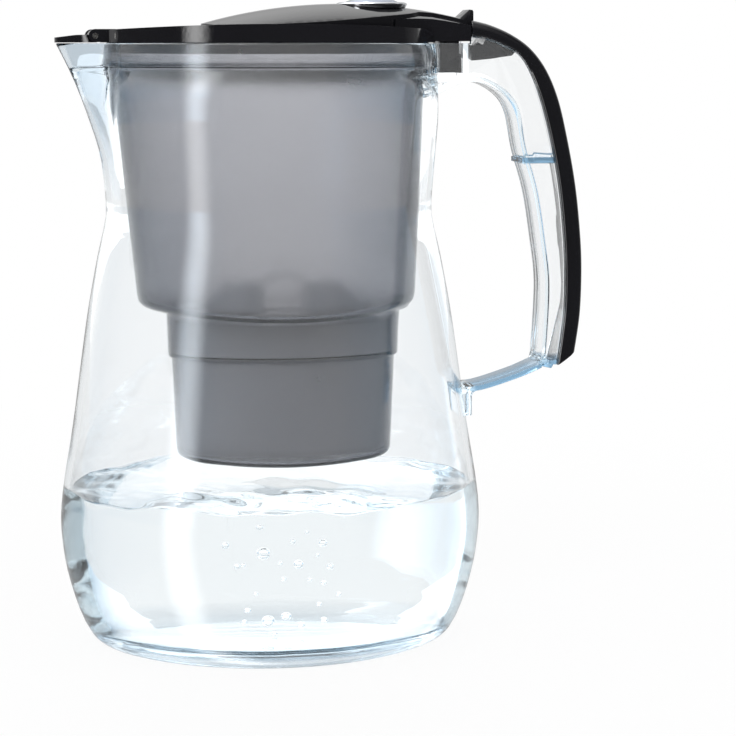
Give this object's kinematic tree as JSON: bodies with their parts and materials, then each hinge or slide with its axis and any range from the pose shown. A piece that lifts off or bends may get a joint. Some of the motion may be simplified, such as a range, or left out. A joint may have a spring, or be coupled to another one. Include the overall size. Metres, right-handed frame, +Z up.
{
  "type": "water filter pitcher with flip lid",
  "caption": "Clear jug with a spout and loop handle, a smoked funnel that holds a filter cartridge, and a black lid with a flip-up filling flap and a chrome indicator button.",
  "frame": {"origin": "centre of the foot's flat ring, on the surface the jug stands on", "axes": "+Z up, -X towards the spout, +X towards the handle, Y across the jug"},
  "size_m": [0.2385, 0.165, 0.2898],
  "materials": {
    "clear_plastic": "clear moulded plastic",
    "smoke_plastic": "smoked translucent plastic",
    "black_plastic": "black, high gloss",
    "white_plastic": "white, satin",
    "mesh_screen": "woven mesh",
    "filter_media": "packed granules",
    "chrome": "bright plated",
    "button_plastic": "blue-grey, gloss",
    "grey_plastic": "dark grey, matt",
    "board": "circuit board",
    "pin_steel": "plain steel"
  },
  "bodies": {
    "jug": {"jug_body": "clear_plastic", "handle_frame": "clear_plastic", "handle_grip": "black_plastic"},
    "funnel": {"funnel": "smoke_plastic"},
    "cartridge": {"cartridge_shell": "white_plastic", "cartridge_cap": "white_plastic", "upper_screen": "mesh_screen", "lower_screen": "mesh_screen", "filter_media": "filter_media"},
    "lid": {"lid_frame": "black_plastic", "flip_hinge_pin": "pin_steel", "spout_flap_pin": "pin_steel"},
    "flip_lid": {"flip_lid": "black_plastic", "indicator_bezel": "chrome", "indicator_capsule": "grey_plastic", "indicator_board": "board", "coin_cell": "pin_steel", "button_spring": "pin_steel"},
    "button": {"indicator_button": "button_plastic"},
    "spout_flap": {"spout_flap": "black_plastic"}
  },
  "joints": [
    {"name": "funnel_lift", "type": "slide", "parent": "jug", "child": "funnel", "axis": [0, 0, 1], "range_m": [0, 0.19]},
    {"name": "cartridge_lift", "type": "slide", "parent": "funnel", "child": "cartridge", "axis": [0, 0, 1], "range_m": [0, 0.08]},
    {"name": "lid_lift", "type": "slide", "parent": "funnel", "child": "lid", "axis": [0, 0, 1], "range_m": [0, 0.04]},
    {"name": "flip_hinge", "type": "hinge", "parent": "lid", "child": "flip_lid", "pos_m": [0.08525, 0, 0.2741], "axis": [0, 1, 0], "range_deg": [0, 62]},
    {"name": "button_press", "type": "slide", "parent": "flip_lid", "child": "button", "axis": [0, 0, -1], "range_m": [0, 0.0012], "stiffness_N_per_m": 400, "springref_m": -0.0008, "deforming": ["button_spring"]},
    {"name": "spout_flap_hinge", "type": "hinge", "parent": "lid", "child": "spout_flap", "pos_m": [-0.07785, 0, 0.2719], "axis": [0, 1, 0], "range_deg": [0, 70]}
  ]
}
